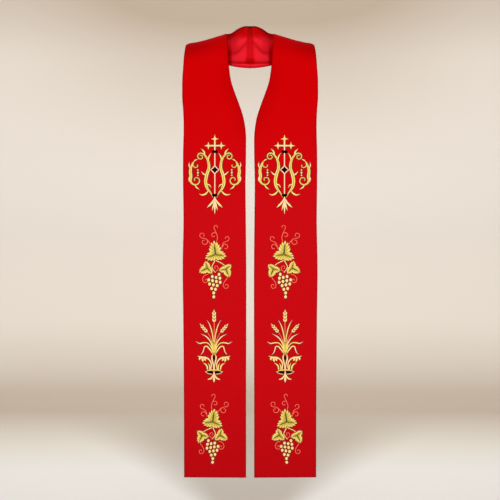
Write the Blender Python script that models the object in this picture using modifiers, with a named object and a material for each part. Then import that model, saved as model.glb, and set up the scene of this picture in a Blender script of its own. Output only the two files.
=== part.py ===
"""A clerical stole in the shape it takes when it is worn.

The stole is one long band that lies round the back of the neck, over both shoulders and
straight down the front. It is sewn from two outer halves that meet in a seam at the centre
back, and each half has its own lining. Nothing is inside it: the neck and the space under
the shoulders are open.

Frame: X to the wearer's left, -Y to the front, +Z up. The origin is on the middle of the
neck, level with the place where the band crosses the shoulder beside the neck.
"""

from collections import namedtuple

import bpy
import numpy as np

MM = 0.001

# Driving sizes, in metres.
HEM_WIDTH = 0.1595  # each hanging panel, at its hem
HEM_DROP = 1.1515  # from the neck side of the shoulder down to the hem
PANEL_GAP = 0.0205  # between the two panels where they hang side by side
NECK_HALF = 0.0620  # centre of the neck to the band, at the side of the neck
NECK_BACK = 0.0620  # centre of the neck to the band, behind the neck
NECK_RISE = 0.0300  # how far the band stands up behind the neck
BACK_DROP = 0.0775  # how far its lower edge hangs below the origin behind the neck
BACK_REACH = 0.1010  # centre of the neck to that lower edge
SHOULDER_HALF = 0.1640  # centre to the band's outer edge, on top of the shoulder
SHOULDER_FALL = 0.0274  # how far the shoulder slopes down under the band
CHEST_REACH = 0.1020  # centre of the neck forward to the hanging panels

OUTER_WALL = 0.0014  # outer cloth with its interlining
LINING_WALL = 0.0010
SEAM_GAP = 0.0003  # between the two halves, at the centre back seam
LINING_GAP = 0.0004  # between the outer cloth and its lining
LINING_INSET = 0.0025  # the outer cloth is turned over this far past the lining

# Spacing of the cross sections that the cloth is built from.
NECK_STEP = 0.0095
PANEL_STEP = 0.0300
NECK_LENGTH = 0.3600  # length of band, from the centre back, that needs the closer spacing

# One row for each cross section of the half on the +X side, from the centre back to the hem.
# Each gives the neck edge (or inner edge) and the outer edge of the band, in millimetres.
Section = namedtuple("Section", "name inner_x inner_y inner_z outer_x outer_y outer_z")
HEM_OUTER = (PANEL_GAP / 2 + HEM_WIDTH) / MM
SECTIONS = [
    Section("centre_back", 0, NECK_BACK / MM, NECK_RISE / MM, 0, BACK_REACH / MM, -BACK_DROP / MM),
    Section("back_seam_side", 14, 60.8, 29.9, 28, 100.6, -75.6),
    Section("nape_side", 31, 54.0, 22.9, 61, 97.0, -69.8),
    Section("neck_turn", 47, 40.5, 10.0, 99, 84.0, -61.5),
    Section("behind_shoulder", 57, 23.0, 4.5, 135, 58.0, -47.8),
    Section("shoulder_rise", 61, 10.0, 2.2, 155, 29.0, -34.0),
    Section("shoulder_top", NECK_HALF / MM, -3, 1.0, SHOULDER_HALF / MM, 1, -SHOULDER_FALL / MM),
    Section("shoulder_turn", 61.2, -18.5, -5.4, 167.6, -23.0, -31.8),
    Section("collar_bone", 59.4, -35.0, -19.0, 169.6, -42.5, -45.0),
    Section("below_collar_bone", 58.0, -49.5, -39.0, 171.6, -55.0, -64.0),
    Section("upper_chest", 57.0, -60.0, -65.0, 173.2, -62.0, -90.0),
    Section("neckline_front", 54.4, -67.0, -94.0, 175.0, -66.5, -117.0),
    Section("flare_start", 48.8, -75.0, -132.0, 175.6, -71.5, -151.0),
    Section("flare_upper", 38.8, -82.0, -163.0, 175.2, -76.0, -177.0),
    Section("flare_middle", 27.4, -87.5, -194.0, 173.0, -80.0, -203.0),
    Section("flare_lower", 16.8, -92.5, -228.0, 171.4, -83.0, -232.0),
    Section("panels_meet", 11.2, -96.5, -264.0, 171.2, -85.5, -265.0),
    Section("breast", 10.4, -99.0, -312.0, 172.4, -87.5, -312.0),
    Section("below_breast", 11.8, -CHEST_REACH / MM, -392.0, 172.4, -90.0, -392.0),
    Section("waist", 11.0, -CHEST_REACH / MM, -490.0, 171.2, -91.5, -490.0),
    Section("hip", 9.9, -101.0, -605.0, 173.2, -92.0, -605.0),
    Section("thigh", 9.9, -100.0, -760.0, 171.6, -92.5, -760.0),
    Section("above_knee", 10.4, -98.5, -950.0, 170.2, -92.0, -950.0),
    Section("hem", PANEL_GAP / 2 / MM, -97.0, -HEM_DROP / MM, HEM_OUTER, -91.0, -HEM_DROP / MM),
]

# Soft folds, one row each. start and end are distances along the band from the centre back,
# across runs from 0 at the inner edge to 1 at the outer edge, all other lengths are in
# millimetres, and depth is positive where the cloth swells outwards.
Fold = namedtuple("Fold", "name start end across_start across_end width depth")
OUTER_FOLDS = [
    Fold("nape_drag", 12, 92, 0.22, 0.48, 11, 1.6),
    Fold("back_drag", 48, 142, 0.58, 0.78, 13, 1.4),
    Fold("shoulder_hollow", 96, 240, 0.55, 0.56, 27, -1.0),
    Fold("shoulder_shelf", 120, 215, 0.90, 0.90, 9, 1.2),
    Fold("collar_swell", 190, 350, 0.86, 0.76, 20, 1.6),
    Fold("panel_bow", 210, 1330, 0.50, 0.50, 62, 3.0),
    Fold("breast_hollow", 360, 640, 0.70, 0.55, 30, -1.5),
    Fold("waist_wave", 560, 900, 0.22, 0.38, 26, 1.6),
    Fold("thigh_wave", 820, 1150, 0.80, 0.68, 28, -1.6),
    Fold("hem_wave", 1060, 1330, 0.24, 0.20, 26, -1.8),
]
# The lining's own folds: here depth is how far it stands off the outer cloth, towards the wearer.
LINING_FOLDS = [
    Fold("upper_drag", 2, 66, 0.33, 0.54, 9, 2.6),
    Fold("lower_swell", 6, 84, 0.77, 0.79, 9, 2.6),
    Fold("edge_roll", -70, 120, 0.935, 0.935, 4.5, 2.0),
]

# Places of the cloth's points across the band, closer together where a fold is narrow.
ACROSS = np.array([0, 0.08, 0.17, 0.27, 0.37, 0.47, 0.57, 0.67, 0.77, 0.86, 0.90, 0.94, 1])


def section_table():
    """The sections' edge points in metres, half a seam gap from the middle at the centre back."""
    table = np.array([row[1:] for row in SECTIONS]) * MM
    table[:, [0, 3]] = np.maximum(table[:, [0, 3]], SEAM_GAP / 2)
    return table


def section_stations(table):
    """Each section's distance from the centre back, along the middle of the band."""
    middle = (table[:, :3] + table[:, 3:]) / 2
    return np.concatenate([[0], np.cumsum(np.linalg.norm(np.diff(middle, axis=0), axis=1))])


def section_slopes(table, stations):
    """How fast each edge value changes at each section, from its slopes to both neighbours.

    The nearer neighbour counts more. At the centre back only X changes, so the band crosses
    that seam square to it.
    """
    steps = np.diff(stations)[:, None]
    rises = np.diff(table, axis=0) / steps
    inside = (rises[:-1] * steps[1:] + rises[1:] * steps[:-1]) / (steps[:-1] + steps[1:])
    slopes = np.vstack([rises[:1], inside, rises[-1:]])
    slopes[0, [1, 2, 4, 5]] = 0
    return slopes


def edges_at(stations):
    """Inner and outer edge points at these distances from the centre back, on cubics between sections."""
    table = section_table()
    known = section_stations(table)
    slopes = section_slopes(table, known)
    row = np.clip(np.searchsorted(known, stations, side="right") - 1, 0, len(known) - 2)
    step = np.diff(known)[row][:, None]
    t = (stations - known[row])[:, None] / step
    edges = (
        (2 * t**3 - 3 * t**2 + 1) * table[row]
        + (t**3 - 2 * t**2 + t) * step * slopes[row]
        + (3 * t**2 - 2 * t**3) * table[row + 1]
        + (t**3 - t**2) * step * slopes[row + 1]
    )
    return edges[:, :3], edges[:, 3:]


def ruled(stations, across):
    """Points on the straight lines that join the two edges."""
    inner, outer = edges_at(stations)
    return inner[:, None] + (outer - inner)[:, None] * across[..., None]


def band_widths(stations):
    inner, outer = edges_at(stations)
    return np.linalg.norm(outer - inner, axis=1)[:, None]


def fold_height(folds, stations, across):
    """How far the folds lift the cloth: each is a smooth ridge about a line, fading at both ends."""
    lift = np.zeros((len(stations), across.shape[-1]))
    for fold in folds:
        along = np.clip((stations - fold.start * MM) / ((fold.end - fold.start) * MM), 0, 1)[:, None]
        line = fold.across_start + (fold.across_end - fold.across_start) * along
        off_line = (across - line) * band_widths(stations) / (fold.width * MM)
        lift += fold.depth * MM * np.sin(np.pi * along) ** 0.7 * np.exp(-(off_line**2))
    return lift


def outer_surface(stations, across):
    """Points and outward normals of the outer cloth: the ruled band, raised by its folds."""
    nudge = 1e-4
    along = ruled(stations + nudge, across) - ruled(stations - nudge, across)
    inner, outer = edges_at(stations)
    normals = np.cross(along, (outer - inner)[:, None])
    normals /= np.linalg.norm(normals, axis=2, keepdims=True)
    lift = fold_height(OUTER_FOLDS, stations, across)
    return ruled(stations, across) + normals * lift[..., None], normals


def band_stations():
    """Distances along the band where its sections stand: close together round the neck, then wider."""
    length = section_stations(section_table())[-1]
    neck = np.arange(0, NECK_LENGTH, NECK_STEP)
    panel = np.linspace(neck[-1], length, 1 + round((length - neck[-1]) / PANEL_STEP))
    return np.concatenate([neck, panel[1:]])


def outer_grid():
    """Points of one outer half."""
    stations = band_stations()
    return outer_surface(stations, np.tile(ACROSS, (len(stations), 1)))[0]


def lining_grid():
    """Points of one lining half: the outer cloth's own points, moved in from its edges and off its wall."""
    stations = band_stations()
    stations[-1] -= LINING_INSET
    inset = LINING_INSET / band_widths(stations)
    across = np.clip(ACROSS, inset, 1 - inset)
    points, normals = outer_surface(stations, across)
    ease = fold_height(LINING_FOLDS, stations, across)
    return points - normals * (OUTER_WALL + LINING_GAP + ease)[..., None]


def make_material(name, colour, roughness):
    material = bpy.data.materials.new(name)
    material.use_nodes = True
    shader = material.node_tree.nodes["Principled BSDF"]
    shader.inputs["Base Color"].default_value = (*colour, 1)
    shader.inputs["Roughness"].default_value = roughness
    shader.inputs["Metallic"].default_value = 0
    return material


def make_cloth(name, grid, wall, material, collection, mirrored):
    """A sheet through a grid of points, thickened inwards; mirrored puts it on the -X side."""
    rows, columns = grid.shape[:2]
    points = grid.reshape(-1, 3) * ((-1, 1, 1) if mirrored else (1, 1, 1))
    corner = np.arange(rows * columns).reshape(rows, columns)
    around = [corner[:-1, :-1], corner[1:, :-1], corner[1:, 1:], corner[:-1, 1:]]
    quads = np.stack(around, axis=-1).reshape(-1, 4)
    if mirrored:
        quads = quads[:, ::-1]
    mesh = bpy.data.meshes.new(name)
    mesh.from_pydata(points.tolist(), [], quads.tolist())
    mesh.shade_smooth()
    mesh.materials.append(material)
    cloth = bpy.data.objects.new(name, mesh)
    collection.objects.link(cloth)
    thickness = cloth.modifiers.new("wall", "SOLIDIFY")
    thickness.thickness = wall
    thickness.offset = -1
    return cloth


def build_stole():
    for old in list(bpy.data.objects):
        bpy.data.objects.remove(old)
    collection = bpy.data.collections.new("clerical_stole")
    bpy.context.scene.collection.children.link(collection)
    red_cloth = make_material("red_cloth", (0.60, 0.004, 0.008), 0.8)
    red_satin = make_material("red_satin", (0.72, 0.012, 0.025), 0.4)
    outer, lining = outer_grid(), lining_grid()
    for side, mirrored in (("left", False), ("right", True)):
        make_cloth(f"outer_{side}", outer, OUTER_WALL, red_cloth, collection, mirrored)
        make_cloth(f"lining_{side}", lining, LINING_WALL, red_satin, collection, mirrored)


build_stole()
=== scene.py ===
import bpy
import numpy as np
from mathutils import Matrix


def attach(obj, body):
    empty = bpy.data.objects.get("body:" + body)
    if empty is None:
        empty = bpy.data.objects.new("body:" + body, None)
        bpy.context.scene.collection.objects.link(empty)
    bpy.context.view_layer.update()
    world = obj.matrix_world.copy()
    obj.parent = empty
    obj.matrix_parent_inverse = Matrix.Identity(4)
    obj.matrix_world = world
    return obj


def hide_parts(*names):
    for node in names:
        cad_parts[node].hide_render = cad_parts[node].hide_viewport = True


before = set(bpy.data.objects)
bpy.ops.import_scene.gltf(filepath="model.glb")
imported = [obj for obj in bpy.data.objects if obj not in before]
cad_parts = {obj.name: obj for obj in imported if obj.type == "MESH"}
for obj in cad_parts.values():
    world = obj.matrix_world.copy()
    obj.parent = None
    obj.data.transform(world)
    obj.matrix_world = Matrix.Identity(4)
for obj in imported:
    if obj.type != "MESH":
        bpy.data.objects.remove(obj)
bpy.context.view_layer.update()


# ---- Camera ----
# A long lens, level, a little over 4 m in front of the two hanging panels, so that their edges
# stay parallel and both hems are seen square on.
LENS, CAMERA_PLACE = 112.32, (-0.0003, -4.10, -0.5671)
scene = bpy.context.scene
camera = bpy.data.objects.new("camera", bpy.data.cameras.new("camera"))
camera.data.lens, camera.data.sensor_width = LENS, 36
camera.data.clip_end = 60
camera.location = CAMERA_PLACE
camera.rotation_euler = (np.pi / 2, 0, 0)
scene.collection.objects.link(camera)
scene.camera = camera
scene.view_settings.view_transform = "Standard"


# ---- Floor, wall and light ----
# One sheet of pale paper, rolled out over the floor and swept up a wall in a wide cove, under
# large soft lamps. Painted shade deepens the paper high up and in the cove, and a painted shadow lies in a
# wedge before it.
PAPER_SHADE = (0.40, 0.325, 0.25, 1)
FLOOR_LEVEL, WALL_PLACE, COVE = -1.413, 5.0, 0.9


class Wire:
    """One output of a shader node. A sum written with wires adds the Math nodes that work it out."""

    def __init__(self, tree, socket=None):
        self.tree, self.socket = tree, socket

    def add(self, kind, settings, sockets, out=0):
        """Adds a node: first its settings, then what each socket holds or is wired to."""
        node = self.tree.nodes.new("ShaderNode" + kind)
        for name, value in settings.items():
            if name == "stops":
                ramp = node.color_ramp.elements
                ramp.remove(ramp[1])
                for count, (place, colour) in enumerate(value):
                    stop = ramp.new(place) if count else ramp[0]
                    stop.position, stop.color = place, colour
            else:
                setattr(node, name, value)
        for name, value in sockets.items():
            if isinstance(value, Wire):
                self.tree.links.new(value.socket, node.inputs[name])
            else:
                node.inputs[name].default_value = value
        return Wire(self.tree, node.outputs[out]) if node.outputs else None

    def maths(self, operation, *others):
        """A Math node whose first value is this one."""
        return self.add("Math", {"operation": operation}, dict(enumerate((self, *others))))

    def __add__(self, other):
        return self.maths("ADD", other)

    def __sub__(self, other):
        return self.maths("SUBTRACT", other)

    def __rsub__(self, other):
        return self.maths("MULTIPLY_ADD", -1, other)

    def __mul__(self, other):
        return self.maths("MULTIPLY", other)

    def __truediv__(self, other):
        return self.maths("DIVIDE", other)

    __radd__, __rmul__ = __add__, __mul__

    def wave(self, pitch):
        """A smooth ridge from 0 to 1 and back for every pitch that this value grows by."""
        return (self * (2 * np.pi / pitch)).maths("COSINE") * 0.5 + 0.5

    def step(self, low, high):
        """0 below low and 1 above high, with a smooth rise between."""
        smooth = {"interpolation_type": "SMOOTHSTEP"}
        return self.add("MapRange", smooth, {0: self, 1: low, 2: high})

    def blend(self, first, second):
        """The first colour where this value is 0 and the second where it is 1."""
        return self.add("Mix", {"data_type": "RGBA"}, {0: self, 6: first, 7: second}, out=2)

    def bump(self, strength, depth):
        """The normal of a surface that this value raises by up to a depth in metres."""
        return self.add("Bump", {}, {"Strength": strength, "Distance": depth, "Height": self})

    def parts(self):
        """The three numbers of a vector."""
        node = self.add("SeparateXYZ", {}, {0: self}).socket.node
        return [Wire(self.tree, socket) for socket in node.outputs]

    def place(self):
        """Where a point of the piece is, in metres."""
        return self.add("TexCoord", {}, {}, out=3)

    def speckle(self, size, detail=2.0):
        """Uneven cloudy values from 0 to 1 over the piece, as large as size in metres."""
        return self.add("TexNoise", {}, {"Vector": self.place(), "Scale": 1 / size, "Detail": detail})

    def field(self, name):
        """A number that the piece's mesh carries at each point."""
        return self.add("Attribute", {"attribute_name": name}, {}, out=2)

    def on_cloth(self, name):
        """The flat measure over a piece: across and along, in the units its mesh gives."""
        return self.add("UVMap", {"uv_map": name}, {}).parts()[:2]


def finish(name, build):
    """A material: build gets a wire and returns what its shader's sockets hold."""
    material = bpy.data.materials.new(name)
    material.use_nodes = True
    material.node_tree.nodes.clear()
    wire = Wire(material.node_tree)
    shader = wire.add("BsdfPrincipled", {}, build(wire))
    wire.add("OutputMaterial", {}, {"Surface": shader})
    return material


def make_piece(name, points, faces, material, maps, fields):
    """A mesh from points and faces that all have three or four sides, with maps and fields at its points."""
    sides = faces.shape[1]
    used, corners = np.unique(faces, return_inverse=True)
    corners = corners.ravel()
    mesh = bpy.data.meshes.new(name)
    mesh.vertices.add(len(used))
    mesh.vertices.foreach_set("co", points.reshape(-1, 3)[used].astype(np.float32).ravel())
    mesh.loops.add(corners.size)
    mesh.loops.foreach_set("vertex_index", corners.astype(np.int32))
    mesh.polygons.add(len(faces))
    mesh.polygons.foreach_set("loop_start", np.arange(0, corners.size, sides, dtype=np.int32))
    mesh.update(calc_edges=True)
    mesh.shade_smooth()
    for key, values in maps.items():
        flat = values.reshape(-1, 2)[used][corners]
        mesh.uv_layers.new(name=key).uv.foreach_set("vector", flat.astype(np.float32).ravel())
    for key, values in fields.items():
        layer = mesh.attributes.new(key, "FLOAT", "POINT")
        layer.data.foreach_set("value", values.reshape(-1)[used].astype(np.float32))
    mesh.materials.append(material)
    piece = bpy.data.objects.new(name, mesh)
    scene.collection.objects.link(piece)
    return piece


def grid_quads(numbers):
    """Faces of a grid of point numbers, each turned so that rows x columns faces out."""
    around = numbers[:-1, :-1], numbers[1:, :-1], numbers[1:, 1:], numbers[:-1, 1:]
    return np.stack(around, axis=-1).reshape(-1, 4)


def run_along(points):
    """How far along a line each of its points is."""
    return np.concatenate([[0], np.cumsum(np.linalg.norm(np.diff(points, axis=0), axis=1))])


def paper(wire):
    """The tone of the bands, with painted shade high up, most in the middle, and a painted shadow in a wedge
    down the floor's middle.
    """
    across, back, up = wire.place().parts()
    off_middle = across.maths("ABSOLUTE")
    shaded_bands = wire.add("ValToRGB", {"stops": PAPER_SHADE_BANDS}, {0: wire.field("run") / PAPER_RUN})
    # Painted shade high up on the wall, most in the middle, and a painted shadow in a wedge down the floor
    # behind the stole.
    high = up.step(-0.3, 0.9) * (1 - off_middle.step(0.3, 1.6) * 0.6) * 0.8 + up.step(0.5, 0.95) * 0.35
    reach = ((back - 0.5) * 0.22).maths("MAXIMUM", 0.08)
    shadow_wedge = (1 - (off_middle / reach).step(0.6, 1.5)) * (1 - back.step(2.6, 4.4)) * 0.6
    grain = wire.speckle(0.004) * 0.02
    colour = ((high + shadow_wedge).maths("MINIMUM", 1.0) + grain).blend(shaded_bands, PAPER_SHADE)
    return {"Base Color": colour, "Roughness": 0.95, "Specular IOR Level": 0.05}


turn = np.linspace(0, np.pi / 2, 24)
sweep_y = np.concatenate([[-9], WALL_PLACE - COVE + COVE * np.sin(turn), [WALL_PLACE]])
sweep_z = FLOOR_LEVEL + np.concatenate([[0], COVE * (1 - np.cos(turn)), [6.0]])
sweep_x = np.linspace(7, -7, 8)
sweep = np.stack(np.broadcast_arrays(sweep_x, sweep_y[:, None], sweep_z[:, None]), axis=-1)
sweep_run = run_along(np.stack([sweep_y, sweep_z], axis=1))
PAPER_RUN = sweep_run[-1]
# The paper's colour along the sweep, in metres from the near end of the floor to high on the wall, with
# painted shade deepening towards and in the cove.
PAPER_SHADE_BANDS = [
    (place / PAPER_RUN, (*colour, 1)) for place, colour in (
        (10.9, (0.86, 0.84, 0.81)), (11.6, (0.80, 0.76, 0.69)), (12.3, (0.70, 0.64, 0.555)),
        (13.05, (0.60, 0.52, 0.435)), (13.45, (0.56, 0.475, 0.39)), (13.7, (0.645, 0.58, 0.50)),
        (14.0, (0.73, 0.67, 0.595)), (14.6, (0.71, 0.66, 0.605)),
    )
]
numbers = np.arange(sweep[..., 0].size).reshape(sweep.shape[:2])
run = {"run": sweep_run[:, None] + 0 * sweep_x}
backdrop = make_piece("backdrop", sweep, grid_quads(numbers), finish("paper", paper), {}, run)

# Each lamp: kind, place, what it points at, its size (metres, or radians for the far one), strength.
LAMPS = {
    "far_lamp": ("SUN", (0.0, -9.0, -0.2), (0, 0, -0.5), 0.6, 1.9),
    "near_lamp": ("AREA", (0.0, -2.6, -0.25), (0, 0, -0.45), 1.3, 33),
    "floor_lamp": ("AREA", (0.0, 2.3, 2.4), (0, 2.3, -1.4), 3.0, 84),
}
for name, (kind, place, target, size, power) in LAMPS.items():
    lamp = bpy.data.objects.new(name, bpy.data.lights.new(name, kind))
    lamp.data.energy = power
    setattr(lamp.data, "angle" if kind == "SUN" else "size", size)
    aim = np.subtract(target, place)
    lamp.location = place
    lamp.rotation_euler = (np.arctan2(np.hypot(aim[0], aim[1]), -aim[2]), 0, np.arctan2(-aim[0], aim[1]))
    lamp.visible_camera = False
    scene.collection.objects.link(lamp)
world = bpy.data.worlds.new("studio")
world.use_nodes = True
sky = world.node_tree.nodes["Background"].inputs
sky["Color"].default_value, sky["Strength"].default_value = (1.0, 0.965, 0.92, 1), 0.37
scene.world = world


# ---- Outer cloth ----
# Two halves of one long band of fine red wool-like cloth over an interlining, joined by a seam at
# the centre back. Each is turned under along both sides, at the seam and at the hem, so its edges
# are soft folds with a faint step where the turned-in cloth ends.
MM = 0.001
OUTER_WALL, OUTER_EDGE, TURN_IN, HEM_TURN, TURN_STEP = 1.4 * MM, MM, 9.5 * MM, 25 * MM, 0.20 * MM
CLOTH_THREAD = 0.42 * MM
SIDES = {"left": 1, "right": -1}  # the right half is the left one mirrored in X
# The neck edge and the outer edge at each cross section, in millimetres, from the centre back.
SECTIONS = np.array([
    (0, 62, 30, 0, 101, -77.5), (14, 60.8, 29.9, 28, 100.6, -75.6), (31, 54, 22.9, 61, 97, -69.8),
    (47, 40.5, 10, 99, 84, -61.5), (57, 23, 4.5, 135, 58, -47.8), (61, 10, 2.2, 155, 29, -34),
    (62, -3, 1, 164, 1, -27.4), (61.2, -18.5, -5.4, 167.6, -23, -31.8),
    (59.4, -35, -19, 169.6, -42.5, -45), (58, -49.5, -39, 171.6, -55, -64), (57, -60, -65, 173.2, -62, -90),
    (54.4, -67, -94, 175, -66.5, -117), (48.8, -75, -132, 175.6, -71.5, -151),
    (38.8, -82, -163, 175.2, -76, -177), (27.4, -87.5, -194, 173, -80, -203),
    (16.8, -92.5, -228, 171.4, -83, -232), (11.2, -96.5, -264, 171.2, -85.5, -265),
    (10.4, -99, -312, 172.4, -87.5, -312), (11.8, -102, -392, 172.4, -90, -392),
    (11, -102, -490, 171.2, -91.5, -490), (9.9, -101, -605, 173.2, -92, -605),
    (9.9, -100, -760, 171.6, -92.5, -760), (10.4, -98.5, -950, 170.2, -92, -950),
    (10.25, -97, -1151.5, 169.75, -91, -1151.5),
]) * MM
# Soft folds: from and to along the band, from and to across it (0 to 1), width and depth, in mm.
OUTER_FOLDS = [
    (12, 92, 0.22, 0.48, 11, 1.6), (48, 142, 0.58, 0.78, 13, 1.4), (96, 240, 0.55, 0.56, 27, -1.0),
    (120, 215, 0.90, 0.90, 9, 1.2), (190, 350, 0.86, 0.76, 20, 1.6), (210, 1330, 0.50, 0.50, 62, 3.0),
    (360, 640, 0.70, 0.55, 30, -1.5), (560, 900, 0.22, 0.38, 26, 1.6), (820, 1150, 0.80, 0.68, 28, -1.6),
    (1060, 1330, 0.24, 0.20, 26, -1.8),
]
# Where dense stitching draws the cloth in: middle along and across, half length, half width, in mm.
PULL = 0.22 * MM
PUCKERS = [(548, 82, 112, 70), (774, 84, 104, 46), (989, 84, 104, 52), (1200, 82, 98, 44)]
middles = (SECTIONS[:, :3] + SECTIONS[:, 3:]) / 2
KNOWN = run_along(middles)
BAND_LENGTH = KNOWN[-1]
SLOPES = np.gradient(SECTIONS, KNOWN, axis=0)
SLOPES[0, [1, 2, 4, 5]] = 0  # both halves meet level and square at the centre back


def through(known, points, slopes, wanted):
    """A smooth line through points at known distances: between two, the cubic that has their slopes."""
    row = np.clip(np.searchsorted(known, wanted, side="right") - 1, 0, len(known) - 2)
    run = np.diff(known)[row][:, None]
    t = (wanted - known[row])[:, None] / run
    return (
        (2 * t**3 - 3 * t**2 + 1) * points[row] + (t**3 - 2 * t**2 + t) * run * slopes[row]
        + (3 * t**2 - 2 * t**3) * points[row + 1] + (t**3 - t**2) * run * slopes[row + 1]
    )


def edges_at(along):
    """Neck edge, outer edge and the width between them, at distances from the centre back."""
    edges = through(KNOWN, SECTIONS, SLOPES, along)
    inner, outer = edges[:, :3], edges[:, 3:]
    return inner, outer, np.linalg.norm(outer - inner, axis=1)[:, None]


def rises(low, high, value):
    """0 below low, 1 above high, and 3t^2 - 2t^3 between them."""
    t = np.clip((value - low) / (high - low), 0, 1)
    return t * t * (3 - 2 * t)


def falls(low, high, value):
    """1 below low, 0 above high, and the same smooth way down between them."""
    return 1 - rises(low, high, value)


def bell(value, middle, width):
    """1 at the middle, and exp(-(distance / width)^2) away from it."""
    return np.exp(-(((value - middle) / width) ** 2))


def fold_height(along, across, widths):
    """Each fold is depth * sin(pi * share along it)^0.7 * a bell across its line."""
    lift = np.zeros(across.shape)
    for start, end, first, last, width, depth in OUTER_FOLDS:
        share = np.clip((along - start * MM) / ((end - start) * MM), 0, 1)[:, None]
        line = first + (last - first) * share
        lift += depth * MM * np.sin(np.pi * share) ** 0.7 * bell(across * widths, line * widths, width * MM)
    return lift


def stitch_pull(along, across, widths, sign):
    """Faint ridges that run out from each embroidered figure: sin(7 * angle) in a ring round its oval."""
    lift = np.zeros(across.shape)
    for number, (middle, over, half_length, half_width) in enumerate(PUCKERS):
        up = (along[:, None] - middle * MM) / (half_length * MM)
        out = (across * widths - over * MM) / (half_width * MM)
        turn = 7 * np.arctan2(out, up) + 1.7 * number + 2.1 * (sign < 0)
        lift += PULL * bell(np.hypot(up, out), 1, 0.22) * np.sin(turn)
    return lift


def unit(vectors):
    """Vectors cut to a length of 1."""
    return vectors / np.linalg.norm(vectors, axis=-1, keepdims=True)


def cloth_surface(along, across, sign):
    """Points and outward normals of one half's outer face, before the right one is mirrored.

    A point is on the straight line between the two edges, and rises along the normal by the folds,
    the pull of the stitching and, near the edges, the step of the turned-in cloth.
    """
    inner, outer, widths = edges_at(along)
    before, after = edges_at(along - 0.1 * MM), edges_at(along + 0.1 * MM)
    edge_to_edge = (outer - inner)[:, None]
    share = across[..., None]
    down = (after[0] - before[0])[:, None] * (1 - share) + (after[1] - before[1])[:, None] * share
    normals = unit(np.cross(down, edge_to_edge))
    from_side = np.minimum(across, 1 - across) * widths
    from_edge = np.minimum(from_side, along[:, None])
    single = np.minimum(
        rises(TURN_IN - MM, TURN_IN + MM, from_edge),
        rises(HEM_TURN - 1.2 * MM, HEM_TURN + 1.2 * MM, BAND_LENGTH - along[:, None]),
    )
    lift = fold_height(along, across, widths) + stitch_pull(along, across, widths, sign)
    lift += TURN_STEP * (1 - single)
    return inner[:, None] + edge_to_edge * share + normals * lift[..., None], normals


def places(length, near, far, step):
    """Distances from 0 to length: the near ones, the far ones from the end, and even steps between."""
    near, far = np.array(near) * MM, np.array(far) * MM
    between = np.linspace(near[-1], length - far[-1], 2 + int((length - near[-1] - far[-1]) / step))
    return np.concatenate([near, between[1:-1], length - far[::-1]])


def rounded(distance, radius):
    """Half the thickness of a round edge, as a share: how high a circle stands this far from its rim."""
    return np.sqrt(1 - (1 - np.clip(distance / radius, 0, 1)) ** 2)


def both_halves(name, node, slot, surface, grid, wall, edge, material, **fields):
    """The left and the right half of one layer, each a closed sheet that stands for a solid.

    A sheet is two faces, half a wall to either side of the middle, that draw together over the rounded
    edge and share their points round the border. A field has its values on the outer and inner face.
    """
    along, across, widths, from_side, ends = grid
    reach = wall / 2 * rounded(from_side, edge) * rounded(ends, edge)
    top = np.arange(across.size).reshape(across.shape)
    under = top + across.size
    for border in (np.s_[0], np.s_[-1], np.s_[:, 0], np.s_[:, -1]):
        under[border] = top[border]
    quads = np.concatenate([grid_quads(top), grid_quads(under)[:, ::-1]])
    flat = np.stack([across * widths, along[:, None] + 0 * across], axis=-1)
    maps = {"cloth": np.concatenate([flat, flat])}
    fields = {key: np.concatenate(values) for key, values in fields.items()}
    pieces = {}
    for side, sign in SIDES.items():
        points, normals = surface(along, across, sign)
        middle, half = points - normals * wall / 2, normals * reach[..., None]
        points = np.concatenate([middle + half, middle - half]) * (sign, 1, 1)
        piece = make_piece(f"{name}_{side}", points, quads[:, ::sign], material, maps, fields)
        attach(piece, "root")
        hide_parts(f"{node}_{side}")
        pieces[side] = piece
    return pieces


# The first rows from an edge, in mm: close together round the fold and where the turned cloth ends.
EDGE_ROWS = [0, 0.08, 0.3, 0.62, 1.0, 2.4, 5.2, 8.3, 8.9, 9.5, 10.1, 10.9]
HEM_ROWS = [0, 0.08, 0.3, 0.62, 1.0, 3, 7, 11, 15, 19, 23.4, 24.2, 25, 25.8, 26.8]
ROW_STEP, CURVED = 2.2 * MM, 0.36  # after the first 0.36 m, which bends, rows are twice as far apart


def band_grid(inset, columns, end_rows, side_rows):
    """A grid over a layer of one half, this far inside the band's edges, and closer together near them.

    It gives the distances along, the shares across the band and its widths, and how far in each point
    is from the layer's own sides and ends.
    """
    length = BAND_LENGTH - inset
    panel = places(length - CURVED, [0], end_rows, 2 * ROW_STEP)
    along = np.concatenate([places(CURVED, EDGE_ROWS, [0], ROW_STEP), panel[1:] + CURVED])
    widths = edges_at(along)[2]
    side = np.array(side_rows) * MM
    share = np.linspace(0, 1, columns)[1:-1]
    gap = np.concatenate([side, side[-1] * (1 - 2 * share), -side[::-1]])
    scale = np.concatenate([0 * side, share, 1 + 0 * side])
    across = inset / widths + (gap + scale * widths) / widths * (1 - 2 * inset / widths)
    from_side = np.minimum(across, 1 - across) * widths - inset
    return along, across, widths, from_side, np.minimum(along, length - along)[:, None]


def behind_neck(along, across):
    """1 behind the neck beside the neck edge, gone at the shoulder and at the middle of the band."""
    return falls(70 * MM, 105 * MM, along[:, None]) * falls(0.4, 0.6, across)


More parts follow.
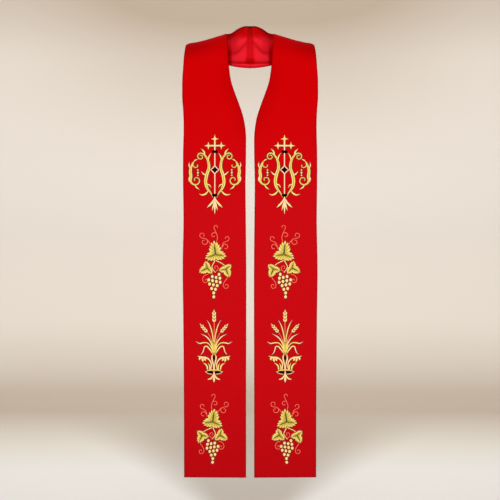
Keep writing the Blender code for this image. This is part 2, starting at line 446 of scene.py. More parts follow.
def red_cloth(wire):
    """Fine plain weave: two sets of threads that cross, and a cloudy tone.

    It carries painted shade: darker at the turned edges, over the shoulders towards the sleeve,
    beside the neck opening and down to the hem.
    """
    across, along = wire.on_cloth("cloth")
    warp, weft = across.wave(CLOTH_THREAD), along.wave(CLOTH_THREAD)
    column, row = across.wave(2 * CLOTH_THREAD), along.wave(2 * CLOTH_THREAD)
    over = column * row + (1 - column) * (1 - row)
    weave = warp * over + weft * (1 - over)
    slub = wire.speckle(0.0035, 3.0)
    cloud = wire.speckle(0.045)
    # Painted shade over the shoulders towards the sleeve, beside the neck opening, along the turned edges
    # (the turned field) and towards the hem.
    shoulder_shade = (1 - along.step(0.195, 0.25)) * (0.06 + across.step(0.02, 0.11) * 0.19)
    neck_edge_shade = (1 - across.step(0.0, 0.05)) * along.step(0.24, 0.3) * (1 - along.step(0.39, 0.5))
    light = 0.93 + weave * 0.05 + slub * 0.04 + cloud * 0.05 - wire.field("turned")
    light = light - along.step(0.98, 1.37) * 0.13 - shoulder_shade - neck_edge_shade * 0.12
    red_tint = along.step(0.30, 0.72).blend((0.452, 0.0, 0.0006, 1), (0.42, 0.0022, 0.0042, 1))
    return {
        "Base Color": light.blend((0, 0, 0, 1), red_tint), "Roughness": 0.82 + slub * 0.08,
        "Normal": (weave + slub * 0.6).bump(0.3, 0.06 * MM), "Specular IOR Level": 0.01,
        "Sheen Weight": 0.04, "Sheen Roughness": 0.5, "Sheen Tint": (1.0, 0.02, 0.03, 1),
    }


grid = band_grid(0, 38, HEM_ROWS, EDGE_ROWS)
along, across, widths, from_side, ends = grid
from_edge = np.minimum(from_side, ends)
# Painted shade along the turned edges: narrow on the outer face and wider on the one behind it, lighter round
# the collar but with more beside the nape.
edge_shade_scale = 0.35 + 0.65 * rises(140 * MM, 200 * MM, along)[:, None]
at_nape = behind_neck(along, across)
turned = (
    (edge_shade_scale * 0.6 + at_nape * 0.35) * np.exp(-from_edge / (1.3 * MM)),
    (0.45 + at_nape * 0.5) * np.exp(-from_edge / (3.0 * MM)),
)
outer_pieces = both_halves(
    "red_cloth", "outer", "outer_cloth", cloth_surface, grid, OUTER_WALL, OUTER_EDGE,
    finish("red_cloth", red_cloth), turned=turned)


# ---- Lining ----
# Two halves of brighter red satin, a little narrower than the outer cloth, felled to its turned
# edges. Behind the neck the satin drags in soft diagonal folds from its own centre seam, whose
# pressed allowances show as a low step and two lines of painted shade, and it rolls over a crease
# along the lower edge. Painted shade darkens its creases, troughs, top and edges.
LINING_WALL, LINING_EDGE, LINING_GAP, LINING_INSET = 1.0 * MM, 0.8 * MM, 0.4 * MM, 1.6 * MM
LINING_ROWS = [0, 0.06, 0.22, 0.48, 0.8, 2.0, 4.0, 6.0]
SATIN_FLOAT = 0.32 * MM
# The drag folds, from the top edge down. For each rise or fall of the satin: where it starts and ends
# across the band (0 to 1) and its height in mm, beside the centre seam, then from 40 mm along.
DRAG = [
    ((0.10, 0.32, 1.7), (0.25, 0.60, 2.8)), ((0.31, 0.42, -1.1), (0.60, 0.67, -1.5)),
    ((0.46, 0.84, 2.8), (0.67, 0.87, 3.6)), ((0.828, 0.872, -2.4), (0.865, 0.900, -2.6)),
    ((0.872, 0.925, 1.6), (0.900, 0.950, 1.6)), ((0.945, 1.0, -2.0), (0.955, 1.0, -2.0)),
]


def drag(along, across):
    """How far the satin stands off the cloth: the sum of its rises and falls, gone past the shoulders."""
    moved, lift = rises(4 * MM, 40 * MM, along)[:, None], 0
    for start, end in DRAG:
        low, high, rise = (near + (far - near) * moved for near, far in zip(start, end))
        lift = lift + rise * MM * rises(low, high, across)
    return lift * falls(70 * MM, 150 * MM, along[:, None])


def satin_surface(along, across, sign):
    """The lining's face next to the outer cloth: that cloth's own, moved in by its wall and the drag.

    Beside the centre seam the satin is held back by a quarter of the drag, and lies on the pressed
    allowance.
    """
    points, normals = cloth_surface(along, across, sign)
    held = 0.75 + 0.25 * rises(MM, 9 * MM, along[:, None])
    pressed = 0.5 * MM * falls(6.9 * MM, 8.1 * MM, along[:, None])
    depth = OUTER_WALL + LINING_GAP + drag(along, across) * held + pressed
    return points - normals * depth[..., None], normals


def red_satin(wire):
    """Close satin weave: long floats along the band, a soft lustre, and painted shade in the seam, the
    creases and at the edges.
    """
    across, along = wire.on_cloth("cloth")
    floats = across.wave(SATIN_FLOAT)
    streak = wire.speckle(0.006)
    # Painted shade from the two fields darkens the satin, takes away its metal lustre and makes its red
    # purer.
    dark = wire.field("turned") * 0.5 + wire.field("crease") * 0.3
    light = (0.97 + floats * 0.04 + streak * 0.05 - dark).maths("MAXIMUM", 0.05)
    red_tint = dark.step(0, 0.3).blend((0.56, 0.008, 0.017, 1), (0.56, 0.0, 0.001, 1))
    return {
        "Base Color": light.blend((0, 0, 0, 1), red_tint), "Roughness": 0.45 + streak * 0.08,
        "Normal": (floats + streak).bump(0.2, 0.04 * MM), "Metallic": 0.25 * (1 - dark.step(0, 0.4)),
        "Specular IOR Level": 0.02, "Sheen Weight": 0.01, "Sheen Tint": (1.0, 0.1, 0.12, 1),
    }


grid = band_grid(LINING_INSET, 40, LINING_ROWS, LINING_ROWS)
along, across, widths, from_side, ends = grid
# Painted shade where the satin can't catch the light: the crease, the top, the troughs of the drag folds, the
# seam and its two pressed lines with less shade on the seam line itself, the notch at the top of the seam,
# and where it turns behind the fronts. Distances are in mm.
behind = satin_surface(along, across, 1)[0] / MM
from_seam = along[:, None] / MM
moved = rises(4, 40, from_seam)
satin_shade = (1.2 - 0.4 * moved) * bell(across, 0.868 + 0.030 * moved, 0.022)
satin_shade += 1.05 * falls(0.08, 0.32, across)
satin_shade += 0.36 * bell(across, 0.385 + 0.265 * moved, 0.06) * rises(5, 14, from_seam)
satin_shade += 0.45 * bell(across, 0.20 + 0.12 * moved, 0.08) * falls(24, 38, from_seam)
seam_shade = 0.62 * falls(4, 13, from_seam)
for line, width, depth in ((7.9, 1.6, 0.25), (3.4, 0.9, 0.4), (0, 1.6, -0.3)):
    seam_shade += depth * bell(from_seam, line, width)
satin_shade += seam_shade * falls(0.88, 0.92, across)
satin_shade += 0.6 * bell(across, 0.81, 0.05) * falls(4, 16, from_seam)
lower = 0.12 + 0.88 * rises(8, 48, -behind[..., 2])
satin_shade += 1.7 * rises(47.5, 54.5, behind[..., 0]) * lower
satin_shade *= falls(110, 150, from_seam)
satin_shade += 0.9 * bell(across, 0, 0.05) * falls(2, 6, from_seam)
# Painted shade along the satin's edges, with a dark line along the neck edge behind the neck.
turned = np.maximum(np.exp(-from_side / (0.9 * MM)), 0.15 * np.exp(-ends / (0.6 * MM)))
turned = turned * np.where(across < 0.5, 0.35, 0.7)
turned += behind_neck(along, across) * 0.6 * np.exp(-from_side / (2.0 * MM))
lining_pieces = both_halves(
    "satin_lining", "lining", "lining_satin", satin_surface, grid, LINING_WALL, LINING_EDGE,
    finish("red_satin", red_satin), turned=[turned] * 2, crease=[satin_shade] * 2)


# ---- Slip stitches ----
# The lining is felled by hand: every 6 mm along its two long edges a short slanting stitch of red
# thread runs from the back of the turned cloth over the lining's edge.
FELL_STEP, FELL_WIDE, FELL_HIGH = 6.0 * MM, 0.5 * MM, 0.25 * MM
# Its two ends: how far each is inside the lining's edge, and how far ahead along it.
FELL_START, FELL_END = (-1.0 * MM, -0.6 * MM), (1.3 * MM, 0.6 * MM)


def slip_stitches(sign):
    """Slim spindles in a row beside each long edge: their points and faces.

    A spindle's four middle points stand round a place three fifths of the way to its end, raised so
    that the stitch rises over the lining's rounded edge.
    """
    along = np.arange(20 * MM, BAND_LENGTH - 12 * MM, FELL_STEP)
    widths = edges_at(along)[2]
    points = []
    for near in (True, False):
        ends = []
        for (inside, ahead), surface, wall in (
            (FELL_START, cloth_surface, OUTER_WALL), (FELL_END, satin_surface, LINING_WALL),
        ):
            share = (LINING_INSET + inside) / widths
            share = share if near else 1 - share
            face, normal = surface(along + ahead, share, sign)
            ends.append((face - normal * wall)[:, 0])
        (start, end), above = ends, normal[:, 0]
        aside, above = unit(np.cross(end - start, above)) * FELL_WIDE / 2, above * FELL_HIGH
        middle = end * 0.6 + start * 0.4 - above * 1.6
        ring = [middle + aside, middle - above, middle - aside, middle + above]
        points.append(np.stack([start, *ring, end], axis=1))
    points = np.concatenate(points)
    count = np.arange(len(points))[:, None, None] * 6
    sides = np.array([[[0, k % 4 + 1, k], [5, k, k % 4 + 1]] for k in range(1, 5)]).reshape(1, 8, 3)
    return points.reshape(-1, 3) * (sign, 1, 1), (count + sides).reshape(-1, 3)[:, ::sign]


def red_thread(wire):
    """Red sewing thread: plain, a little darker than the cloth, with a faint twist along it."""
    twist = wire.speckle(0.0012, 1.0)
    colour = (0.45 + twist * 0.1).blend((0, 0, 0, 1), (1.0, 0.005, 0.01, 1))
    return {"Base Color": colour, "Roughness": 0.6, "Specular IOR Level": 0.05}


plain_thread, slip_pieces = finish("red_thread", red_thread), {}
for side, sign in SIDES.items():
    piece = make_piece(f"slip_stitches_{side}", *slip_stitches(sign), plain_thread, {}, {})
    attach(piece, "root")
    slip_pieces[side] = piece


# ---- Embroidery: how a column of satin stitch is made ----
# All the figures are machine satin stitch in shiny gold-coloured thread over padding, with small
# parts in black. A column is threads laid side by side from one edge line to the other.
STITCH_STEP, THREAD = 0.6, 0.42  # between two rows of a column's points, and between two threads, in mm
FULL_REACH = 0.9  # half the width in mm from which a column is fully padded
PANEL_TOP = 0.30  # how far along the band, in metres, it hangs straight enough to be embroidered
# The ten points across a column: their places from edge line (-1) to edge line (1), the heights of a
# round and of a split dome, then the dark groove that the needle draws into the cloth beside it, its
# dark partly painted shadow: how far out and how high, in mm, and how deep, from the threads (0) and
# their foot (0.5) to the cloth (1).
COLUMN, ROUND, SPLIT, GROOVE_OUT, GROOVE_LIFT, IN_GROOVE = np.array([
    (-1, -1, -1, -0.66, -0.22, 0.22, 0.66, 1, 1, 1),
    (0, 0, 0.2, 0.82, 1.0, 1.0, 0.82, 0.2, 0, 0),
    (0, 0, 0.25, 1.0, 0.6, 0.6, 1.0, 0.25, 0, 0),
    (-1.6, -1.4, 0, 0, 0, 0, 0, 0, 1.4, 1.6),
    (-0.12, 0.08, 0.08, 0, 0, 0, 0, 0.08, 0.08, -0.12),
    (1, 1, 0.5, 0, 0, 0, 0, 0.5, 1, 1),
])


def resampled(values, known, wanted):
    """Numbers or points at known places, read off at wanted ones on the straight stretches between."""
    return np.stack([np.interp(wanted, known, column) for column in values.T], axis=1)


def stretched(values, rows):
    """One number, or several numbers or points an even way apart, spread over a number of rows."""
    values = np.array(values, float, ndmin=1)
    values = values.reshape(len(values), -1)
    return resampled(values, np.linspace(0, 1, len(values)), np.linspace(0, 1, rows))


def curve(points):
    """A smooth line through points, resampled evenly: its slope at each is that between its neighbours."""
    points = np.array(points, float)
    known = run_along(points)
    slopes = np.gradient(points, known, axis=0)
    line = through(known, points, slopes, np.linspace(0, known[-1], 40 * len(points)))
    run = run_along(line)
    return resampled(line, run, np.linspace(0, run[-1], max(4, 1 + round(run[-1] / STITCH_STEP))))


def coil(centre, radii, angles):
    """Points of a spiral: its radius and its angle, in degrees, both change evenly."""
    count = max(5, int(abs(angles[1] - angles[0]) / 30) + 1)
    turn, radius = np.radians(np.linspace(*angles, count)), np.linspace(*radii, count)
    return centre + radius[:, None] * np.stack([np.cos(turn), np.sin(turn)], axis=1)


# Half a vine leaf: for each half lobe, its vein's angle, then the teeth from the vein's tip on, as
# angle and reach from the stalk in mm.
LEAF_LOBES = [
    (0, [(0, 37.5), (13, 34.5), (26, 29.5), (40, 25), (62, 19)]),
    (104, [(104, 29.5), (91, 27), (76, 23.5), (52, 18)]),
    (104, [(104, 29.5), (119, 26.5), (136, 22), (154, 18), (180, 14)]),
]


class Figure:
    """One embroidered figure, as columns of stitches on the flat, in millimetres from its own origin."""

    def __init__(self):
        self.columns = []

    def between(self, first, second, tone=0.05, rim=None, height=0.8, split=False, base=0.0, groove=1.0,
                fade=1.0):
        """A column between two lines: points at first + share * (second - first), raised as a dome.

        Every other row is a little lower, as between two threads. The tones go from copper (below 0)
        and cream (0) through gold to olive (1). They run as share ^ fade from the first line to the
        second, or from both lines to the middle of a split dome. Several are spread along the column.
        """
        rows = max(len(first), len(second), 4)
        rim = tone if rim is None else rim
        first, second, height, tone, rim = (
            stretched(values, rows) for values in (first, second, height, tone, rim)
        )
        middle, half = (first + second) / 2, (second - first) / 2
        reach = np.linalg.norm(half, axis=1)[:, None]
        out = half / np.maximum(reach, 1e-6) * np.minimum(1, 0.15 + reach / FULL_REACH) * groove
        flat = middle[:, None] + half[:, None] * COLUMN[:, None] + out[:, None] * GROOVE_OUT[:, None]
        row = np.arange(rows)[:, None]
        ends = rounded(np.minimum(row, row[::-1]) + 0.35, 2.2)
        lift = height * np.minimum(1, reach / FULL_REACH) * ends * (1 - 0.07 * (row % 2))
        lift = (base + lift * (SPLIT if split else ROUND)) * (GROOVE_OUT == 0) + GROOVE_LIFT
        flow = np.stack([COLUMN * reach, run_along(middle)[:, None] + 0 * COLUMN], axis=-1)
        spread = 1 - np.abs(COLUMN) if split else (COLUMN + 1) / 2
        shade = tone + (rim - tone) * spread**fade
        if np.cross(np.diff(middle, axis=0), half[1:]).sum() > 0:
            flat, lift, flow, shade = (values[:, ::-1] for values in (flat, lift, flow, shade))
        self.columns.append((flat, lift, flow, shade, np.broadcast_to(IN_GROOVE, shade.shape)))

    def stroke(self, points, widths, *tones, **how):
        """A column along a smooth line: its edges are half a width to either side, each in its own tone."""
        line = curve(points)
        half = stretched(widths, len(line)) / 2
        ahead = unit(np.gradient(line, axis=0))
        aside = ahead[:, ::-1] * (-1, 1)
        self.between(line + aside * half, line - aside * half, *tones, **how)

    def pair(self, points, widths, *tones, **how):
        """A stroke and its mirror image about the figure's upright axis."""
        self.stroke(points, widths, *tones, **how)
        self.stroke(np.array(points, float) * (-1, 1), widths, *tones, **how)

    def berry(self, centre, radius):
        """A round dome on a wider dark ring: rows across a circle, as high as cos(angle)^0.6."""
        for size, height, shade, rim in ((radius * 1.2, 0.2, 1.1, 1.1), (radius, 1.3, 0.04, 0.34)):
            turn = np.linspace(-0.98, 0.98, 2 + int(2 * size / STITCH_STEP)) * np.pi / 2
            across = np.stack([np.cos(turn), np.sin(turn)], axis=1) * size
            height = height * np.cos(turn) ** 0.6
            self.between(centre + across * (-1, 1), centre + across, shade, rim, height)

    def leaf(self, origin, turn, size):
        """A vine leaf from its stalk: six half lobes, with stitches from a vein out to a toothed edge.

        Between two teeth the edge drops back to a notch beside the lower one. A tooth is high and
        cream at its tip, and each notch runs in as a low olive line. The three veins are dark.
        """

        def reach(angle, length):
            """Points this far from the stalk, at an angle from the leaf's own upright."""
            way = np.radians(turn + np.array(angle))
            return origin + size * np.stack([np.sin(way) * length, np.cos(way) * length], axis=-1)

        for side in (1, -1):
            for lobe, teeth in LEAF_LOBES:
                angles, lengths = np.array(teeth, float).T
                marks = np.arange(len(angles))
                known = np.sort(np.concatenate([marks, marks[:-1] + 0.72]))
                rows = np.linspace(0, marks[-1], 2 + int(13 * marks[-1] * max(size, 0.75)))
                pulled = np.interp(known, marks, lengths) * np.where(known % 1, 0.79, 1)
                edge, notched = np.interp(rows, known, pulled), np.interp(rows, known, known % 1 > 0)
                angle = np.interp(rows, marks, angles)
                on_vein = np.interp(rows, marks, lengths) * np.cos(np.radians(angle - lobe))
                self.between(
                    reach(lobe * side, np.maximum(on_vein * 0.76 - 8.0, -1.5)), reach(angle * side, edge),
                    0.65 + 0.12 * notched, -0.08 + 0.88 * size * notched, 0.95 - 0.5 * notched, fade=2.4)
            for lobe, length in ((0, 31), (104 * side, 23)):
                self.stroke(reach([lobe * 0.9, lobe * 0.97, lobe], [0, length * 0.5, length]),
                            np.array([2.2, 1.9, 0.8]) * (0.3 + 0.7 * size), 0.86, height=0.5, base=0.75)

    def laid(self, sign, axis, level, facing, lean):
        """All the columns as one set of points and faces on the cloth of one side.

        The figure is turned by its lean and mirrored where facing is -1. A flat point's place on the
        band is found by steps that cut down its error, and its height goes along the cloth's normal.
        """
        points, quads, maps, count = [], [], [], 0
        for flat, lift, *map_values in self.columns:
            numbers = count + np.arange(lift.size).reshape(lift.shape)
            quads.append(grid_quads(np.concatenate([numbers, numbers[:, :1]], axis=1)))
            for row, turned in ((numbers[0], 1), (numbers[-1], -1)):
                quads.append(np.array([row[[k, k + 1, 8 - k, 9 - k]] for k in range(4)])[:, ::turned])
            count += lift.size
            points.append(np.concatenate([flat, lift[..., None]], axis=-1).reshape(-1, 3))
            maps.append([values.reshape(lift.size, -1) for values in map_values])
        points, quads = np.concatenate(points) * MM, np.concatenate(quads)
        cosine, sine = np.cos(np.radians(lean)), np.sin(np.radians(lean))
        x = axis * MM + facing * (points[:, 0] * cosine + points[:, 1] * sine)
        z = level * MM + points[:, 1] * cosine - points[:, 0] * sine
        known = np.linspace(PANEL_TOP, BAND_LENGTH, 400)
        inner, outer, _ = edges_at(known)
        along = np.interp(-z, -(inner[:, 2] + outer[:, 2]) / 2, known)
        inner, outer, _ = edges_at(along)
        across = (x - inner[:, 0]) / (outer[:, 0] - inner[:, 0])
        for _ in range(4):
            place, normal = cloth_surface(along, across[:, None], sign)
            inner, outer, _ = edges_at(along)
            along = along + (place[:, 0, 2] - z)
            across = across + (x - place[:, 0, 0]) / (outer[:, 0] - inner[:, 0])
        place, normal = cloth_surface(along, across[:, None], sign)
        world = (place[:, 0] + normal[:, 0] * points[:, 2:]) * (sign, 1, 1)
        return world, quads[:, ::-sign * facing], *(np.concatenate(values) for values in zip(*maps))


def thread_finish(name, stops, groove, gloss, metal, shine):
    """Shiny thread: a ridge per stitch, painted shade between, a tone for each part, and the dark groove
    round a column.
    """

    def build(wire):
        ridge = wire.on_cloth("thread")[1].wave(THREAD)
        uneven = wire.speckle(0.0022)
        tone = wire.field("tone") + uneven * 0.16 - 0.08
        colour = wire.add("ValToRGB", {"stops": stops}, {0: (tone + 0.4) / 1.4})
        # Painted shade between the threads and at a column's foot, then a painted shadow in the groove and a
        # deep red one on the cloth just outside it.
        dark = (1 - ridge) * 0.2 + wire.field("rim").step(0.15, 0.45)
        light = dark.maths("MINIMUM", 1.0).blend(colour, groove)
        light = wire.field("rim").step(0.5, 1.0).blend(light, (0.16, 0.0, 0.0002, 1))
        return {
            "Base Color": light, "Roughness": gloss + uneven * 0.1, "Metallic": metal,
            "Normal": (ridge + uneven * 0.3).bump(0.5, 0.1 * MM), "Specular IOR Level": shine,
        }

    return finish(name, build)


gold = thread_finish(
    "gold_thread",
    [((tone + 0.4) / 1.4, (*colour, 1)) for tone, colour in (
        (-0.2, (1.0, 0.13, 0.075)), (-0.1, (0.96, 0.51, 0.36)), (0.05, (0.95, 0.54, 0.33)),
        (0.25, (0.97, 0.63, 0.18)), (0.5, (0.78, 0.57, 0.09)), (0.75, (0.34, 0.28, 0.02)),
        (1.0, (0.05, 0.04, 0.003)),
    )],
    groove=(0.05, 0.002, 0.0005, 1), gloss=0.42, metal=0.08, shine=0.25,
), "gold_thread"
black = thread_finish(
    "black_thread", [(0.0, (0.0015, 0.001, 0.001, 1)), (1.0, (0.003, 0.002, 0.002, 1))],
    groove=(0.002, 0.0, 0.0, 1), gloss=0.6, metal=0.0, shine=0.01,
), "dark_thread"
embroidery = {"left": [], "right": []}


def embroider(name, figure, thread, axes, level, facing=1, lean=0.0):
    """Lays a figure on both panels, as one piece each: its axis on each panel and its level are in mm."""
    material, slot = thread
    for (side, sign), axis in zip(SIDES.items(), axes):
        world, quads, flow, shade, rim = figure.laid(sign, axis, level, facing, lean)
        fields = {"tone": shade, "rim": rim}
        piece = make_piece(f"{name}_{side}", world, quads, material, {"thread": flow}, fields)
        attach(piece, "root")
        embroidery[side].append(piece)


# ---- Top ornament ----
# An upright staff with a budded cross at its head and a leafy foot, held in a lyre of two leaf
# scrolls with a curled scroll outside each. It is all gold but for two knots and a lozenge in black.
ORNAMENT_PLACE = (88.2, 90.6), -361.3
ornament, jet = Figure(), Figure()
# Each stroke: its points and its widths along it, in mm, and the tones of its two edge lines.
pair, stroke = ornament.pair, ornament.stroke
# lyre: from a leaf foot beside the lower knot, out, in at the waist, out again into a volute
pair(
    [(5, -71), (10, -60), (19, -48), (23.5, -32), (20.5, -12), (15.5, 4), (16.5, 20), (23, 34), (33, 42.5),
     *coil((36.5, 34), (8.6, 3.0), (75, -310))],
    [1.0, 4.5, 8.2, 9.0, 8.8, 7.6, 6.0, 4.4, 3.4, 2.8, 2.2], 0.08, 0.9, height=1.0, split=True)
pair([(17.6, -55), (23, -61), (31, -64.5), (40.5, -62)], [2.4, 4.8, 3.6, 0.6], 0.20, 0.42)
pair([(16.6, 25), (15.2, 34), (9.5, 43)], [2.0, 3.8, 0.6], 0.15, 0.4)
pair([(25.2, 37.6), (27.6, 46), (35, 54.5)], [2.0, 4.4, 0.5], 0.12, 0.36)
pair([(22, -14), (29, -10.5), (35, -3.5)], [4.0, 3.6, 0.5], 0.18, height=0.7)
pair([(19.4, -36.6), (14, -39), (9.5, -46)], [2.6, 3.2, 0.5], 0.25, height=0.7)
# outer scroll: a volute at the top, a broad back and a larger volute at the foot, a leaf at each end
pair(
    [*coil((47.5, 12.5), (2.6, 10.5), (-200, 45)), (59.5, 12), (63.0, -3), (61.5, -18),
     *coil((48.5, -26.5), (14.0, 3.0), (-5, -390))],
    [2.0, 2.6, 3.4, 4.8, 7.8, 8.6, 7.2, 4.8, 3.6, 3.0, 2.6, 2.2], 0.08, 0.85, height=1.0, split=True)
pair([(54.6, 20.8), (50.5, 24.8), (44.5, 27.6)], [1.4, 3.4, 1.2], 0.1, 0.3)
pair([(64.4, 4.6), (66.4, 11), (65.6, 20)], [1.6, 3.8, 0.4], 0.08)
pair([(64.3, -15.6), (66.2, -22), (65.6, -31)], [1.6, 3.8, 0.4], 0.08)
pair([(51, -39.2), (47, -45), (39, -50.5)], [2.4, 4.0, 0.4], 0.1, 0.3, base=0.1)
for way in (-1, 1):
    for drop, radius in ((-0.5, 2.2), (-7.2, 2.8), (-14, 2.2)):
        ornament.berry((43.6 * way, drop), radius)
# staff, lozenge frame, cross and foot
for top, foot in ((43.5, 9.8), (-9.8, -62)):
    stroke([(0, top), (0, foot)], [3.4, 3.3, 3.4], height=0.75)
for up in (1, -1):
    pair([(0, 11.0 * up), (4.8, 5.0 * up), (11.0, 0.2 * up)], [2.6, 2.9, 2.0])
stroke([(0, 49), (0, 84)], [3.6, 4.2, 4.4, 4.2], -0.05, 0.25, height=0.9, split=True)
stroke([(-22, 62.1), (22, 62.1)], [4.2, 4.4, 4.2], -0.05, 0.25, height=0.95, split=True, base=0.15)
for centre, ahead in (((0, 79.4), (0, 1)), ((16.6, 62.1), (1, 0)), ((-16.6, 62.1), (-1, 0))):
    centre, ahead = np.array((centre, ahead))
    aside = ahead[::-1] * (-1, 1)
    stroke([centre - aside * 9.4, centre, centre + aside * 9.4], [0.5, 3.2, 7.6, 3.2, 0.5], -0.05, 0.6,
           height=0.85, split=True, base=0.1)
    stroke([centre - ahead * 5.5, centre, centre + ahead * 10.6], [3.4, 6.4, 5.6, 2.6, 0.5], -0.06, 0.72,
           height=0.95, split=True, base=0.25)
stroke([(0, -69), (0, -92), (0, -113.8)], [3.6, 4.6, 5.4, 4.2, 0.5], 0.0, height=0.95, split=True, base=0.1)
pair([(1.5, -74), (7, -84), (13.5, -91), (20, -97)], [2.2, 4.8, 5.6, 0.6], 0.0, 0.3, height=0.85)
pair([(1.2, -80), (3.6, -92), (7.2, -104.5)], [1.6, 4.2, 3.8, 0.5], 0.05, 0.38)
for level in (46.6, -65.6):
    across = [(-7.4, level), (0, level), (7.4, level)]
    jet.stroke(across, [2.2, 6.6, 7.2, 6.6, 2.2], 0.3, height=1.1, base=0.3)
jet.stroke([(0, 7.0), (0, 0), (0, -7.0)], [0.8, 5.0, 12.6, 5.0, 0.8], 0.3)
embroider("scroll_ornament", ornament, gold, *ORNAMENT_PLACE)


# ---- Vines ----
# A bunch of grapes under one large and two small vine leaves, with curling tendrils, twice on each
# panel. Near the hem it is a little smaller, faces the other way and leans outward at its foot.
VINES = {  # scale, then axes and level in mm, which way it faces and its lean in degrees
    "upper": (1.0, (86.5, 88.8), -579.1, 1, 0.0),
    "lower": (0.955, (93.9, 96.3), -1008.8, -1, 2.4),
}
# Rows of grapes, from the stalk down: how many, and the middle of the row.
BUNCH = [
    (1, (-9.2, -50.5)), (3, (-1.6, -58.2)), (4, (2.6, -67.6)), (3, (5.4, -77.2)), (2, (5.0, -87.8)),
    (1, (4.6, -98)), (1, (4.4, -108)),
]
# Leaves, each from its stalk: its place, its turn and its size.
LEAVES = [((0, 0), 6, 1.0), ((20.9, -34.1), 118, 0.67), ((-26.4, -36.8), -155, 0.645)]
# Tendrils and stalks: where each starts, which way it heads, and its arcs as length and turn.
TENDRILS = [
    ((-2.5, 33.4), 118, (8.5, -24), (11, -26), (9, -4), (8, 8), (5, 45), (5, 65), (4.5, 62), (4, 50)),
    ((-1.1, 55.6), 20, (5.5, -25), (5.5, -50), (5, -60), (5, -65), (4.5, -65)),
    ((11.4, 25.7), 55, (10, -4), (7, -10), (6, -25), (5, -14), (6, 35), (6, 58), (6.3, 58), (6, 62), (5, 62),
     (4, 60)),
    ((21.1, 37.3), 245, (6.5, 45), (6, 50), (6, 50), (6, 55), (5, 60), (4.5, 60)),
    ((-14.7, 13.2), 112, (8, -12), (7, 15), (7, 40), (7, 5), (5, -40), (6, -60), (6, -70), (5, -60),
     (3, -40)),
    ((-18.6, 20.4), 92, (7, 60), (7, 62), (6.5, 62), (6, 62), (5, 65)),
    ((0.3, -43.1), 160, (6.5, -30), (6, -45), (6, -60), (5, -65), (4.5, -70), (4, -80)),
    ((19.0, -50.5), -4, (6.5, -20), (7, -28), (7.5, -36), (6.5, -42), (6, -50), (6, -62), (5.5, -70),
     (4.5, -85), (3.5, -70)),
    ((-31.7, -57.4), -56, (8.5, 4), (8, -8), (7, -25), (7, -45), (6.5, -60), (6, -60), (5.5, -62), (4.5, -75),
     (4, -70)),
]
STALKS = [
    ((1.4, -15), -62, (14.5, 0), (6, -50), (9, -18), (6, 8)), ((-0.6, -14.2), 212, (9, -8), (8, 4), (10, 22)),
]


def wind(start, heading, *arcs):
    """Points of a line that starts at a heading, in degrees from level, and turns evenly along each arc."""
    lengths, turns = np.repeat(arcs, 4, axis=0).T / 4
    way = np.radians(heading + np.cumsum(turns) - turns / 2)
    steps = lengths[:, None] * np.stack([np.cos(way), np.sin(way)], axis=1)
    return start + np.vstack([[0, 0], np.cumsum(steps, axis=0)])


def vine(scale):
    """The whole figure about the large leaf's stalk, in millimetres at this scale."""
    figure = Figure()
    for tendril in TENDRILS:
        figure.stroke(wind(*tendril) * scale, [1.9, 1.8, 1.6], -0.35, height=0.6, groove=0.3)
    for stalk in STALKS:
        figure.stroke(wind(*stalk) * scale, [2.6, 2.3, 2.0], 0.05, 0.3, groove=0.6)
    for origin, turn, size in LEAVES:
        figure.leaf(np.array(origin) * scale, turn, size * scale)
    for count, (middle, level) in BUNCH:
        for x in (np.arange(count) - (count - 1) / 2) * 9.8:
            figure.berry(((middle + x) * scale, (level + 0.21 * x) * scale), 4.15 * scale)
    return figure


for name, (scale, *place) in VINES.items():
    embroider(f"{name}_vine", vine(scale), gold, *place)


# ---- Wheat ----
# Three ears and ten blades of wheat tied in a sheaf, rising from a cup of leaves on a ring, with a
# forked foot. The ring's two openings and the core of the drop in the middle are black.
WHEAT_PLACE = (90.0, 92.7), -879.4
wheat, jet_low = Figure(), Figure()
pair, stroke = wheat.pair, wheat.stroke


def ear(base, tip, size):
    """Three pairs of plump grains up a stalk, olive where the two meet, and one grain at the tip."""
    base, tip = np.array((base, tip), float)
    ahead = unit(tip - base) * size
    aside = ahead[::-1] * (-1, 1)
    stroke([base, tip - ahead * 6], [1.4, 2.0, 1.2], 0.9, height=0.5, base=0.2)
    for count in range(3):
        root = base + ahead * (1.4 + 8.3 * count)
        for way, tone, rim, fade in ((aside, 0.0, 0.85, 2.2), (-aside, 0.85, 0.0, 0.45)):
            grain = [root + way * 0.8, root + ahead * 4.4 + way * 2.6, root + ahead * 9.2 + way * 4.1]
            stroke(grain, [2.2 * size, 4.8 * size, 4.4 * size, 0.8], tone, rim, height=1.1,
                   base=0.05 + 0.12 * count, fade=fade)
    stroke([tip - ahead * 8.6, tip - ahead * 5, tip], [2.4 * size, 4.6 * size, 3.0 * size, 0.4], height=1.1,
           base=0.45)


# blades, lowest first, olive at the root and copper at the tip, and the stalks
pair([(3.6, 46.5), (11.5, 58.2), (19, 65.2), (23.6, 64.6), (26.4, 57), (29.4, 49), (34.6, 43)],
     [2.0, 3.4, 3.6, 3.3, 3.1, 2.6, 0.6], [0.35, 0.12, 0.05, 0.0, -0.19], [0.5, 0.3, 0.15, -0.1])
pair([(2.6, 50), (8.6, 65.5), (17, 73.6), (27.5, 74.4), (37, 72.6), (47, 78)], [2.2, 3.4, 2.6, 3.4, 3.2, 0.5],
     [0.4, 0.15, 0.4, 0.2, -0.19], [0.5, 0.3, 0.5, 0.2, -0.19])
pair([(3.0, 58), (8.5, 76), (18, 88.5), (34, 97.6)], [2.0, 3.4, 3.6, 0.6], [0.3, 0.1, 0.0, -0.19],
     [0.5, 0.3, 0.1, -0.19])
pair([(1.4, 76), (4.2, 96), (8.6, 114), (13.5, 125.5), (18.0, 132.6)], [1.8, 3.0, 3.4, 2.7, 0.5],
     [-0.19, 0.4, 0.15, -0.12], [0.1, 0.6, 0.3, -0.12])
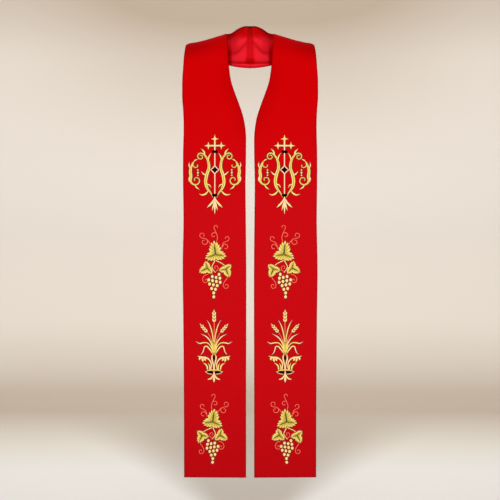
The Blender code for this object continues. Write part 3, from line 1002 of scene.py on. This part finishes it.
stroke([(0, 60), (-0.4, 95), (-0.6, 128)], [2.2, 2.4, 2.6], -0.35, height=0.6, groove=0.4)
pair([(3.4, 66), (9.5, 88), (17, 101.5)], [1.9, 1.8, 1.7], -0.35, height=0.6, groove=0.4)
for x in (-3.2, -1.6, 0.0, 1.6, 3.2):
    stroke([(x * 0.3, 46.5), (x * 1.1, 66), (x * 1.8, 84)], [1.4, 2.6, 0.6], 0.66 - 0.05 * abs(x),
           height=0.75, base=0.35)
ear((-0.4, 126.5), (-0.2, 160), 1.0)
for way in (-1, 1):
    ear((17.2 * way, 100.6), (36.4 * way, 123.4), 0.86)
# drop: two petals that close round a black core and meet in a stalk
pair([(0.4, 46.2), (4.4, 42), (5.4, 34.5), (3.2, 24), (1.4, 14), (1.0, 5)], [1.0, 3.6, 4.4, 3.8, 2.8, 2.6],
     0.05, 0.2, height=0.9, base=0.1)
# cup: an arched leaf with a feathered end on either side, a small curl in it and a leaf outside
pair([(8.8, 5.5), (7.0, 14), (8.2, 24), (14.4, 32.6), (23, 36.4), (32, 36.8), (42.2, 40.4)],
     [3.0, 3.4, 3.6, 4.2, 5.0, 5.4, 0.8], 0.06, 0.26, height=0.95)
for root, tip in (((23.5, 34.5), (21.0, 28.0)), ((29.5, 35.0), (27.6, 25.4)), ((35.8, 36.6), (36.4, 29.6))):
    bend = ((root[0] + tip[0]) / 2 + 0.8, (root[1] + tip[1]) / 2)
    pair([root, bend, tip], [4.0, 6.6, 5.0, 1.6], 0.1, 0.5, height=0.75)
pair([(11.4, 5.5), (11.0, 13), (15.0, 22.5)], [3.0, 4.0, 0.6], 0.3, 0.6, height=0.7)
pair([(16.6, 5), (18.0, 14), (22.4, 19.4), (28.4, 22.4)], [3.2, 4.4, 3.6, 0.6], 0.12, 0.36, height=0.85)
# ring and foot
pair([(22.6, -0.6), (14, 3.4), (0, 4.6)], [1.4, 3.2, 3.6], 0.55, 0.4, base=0.15)
pair([(23.2, 0.4), (15, -4.6), (5, -6.4)], [1.2, 2.0, 1.8], 0.06, base=0.1)
stroke([(0, 2), (0, -6), (0, -14)], [2.4, 4.6, 3.2], 0.08, height=0.9, base=0.25)
pair([(1.0, -5), (3.6, -12), (8.2, -17.4), (15.8, -19.8)], [2.4, 4.2, 4.8, 2.2], 0.06, 0.35, height=0.95,
     base=0.1)
stroke([(0, -11), (0, -19), (0, -27.8)], [1.2, 5.0, 7.4, 4.4, 0.4], 0.12, height=0.95, split=True, base=0.15)
jet_low.pair([(2.8, -1.6), (10.5, -1.4), (18.4, -1.0)], [1.8, 4.0, 3.0, 0.6], 0.3, height=0.45)
jet_low.stroke([(0, 41.0), (0, 35), (0, 27.5)], [0.8, 3.8, 3.2, 0.5], 0.3, height=0.7)
embroider("wheat_sheaf", wheat, gold, *WHEAT_PLACE)


# ---- Black accents ----
# The same satin stitch in black thread: the ornament's two knots and its lozenge, and the wheat's
# two openings in the ring and the core of its drop.
embroider("ornament_black", jet, black, *ORNAMENT_PLACE)
embroider("wheat_black", jet_low, black, *WHEAT_PLACE)
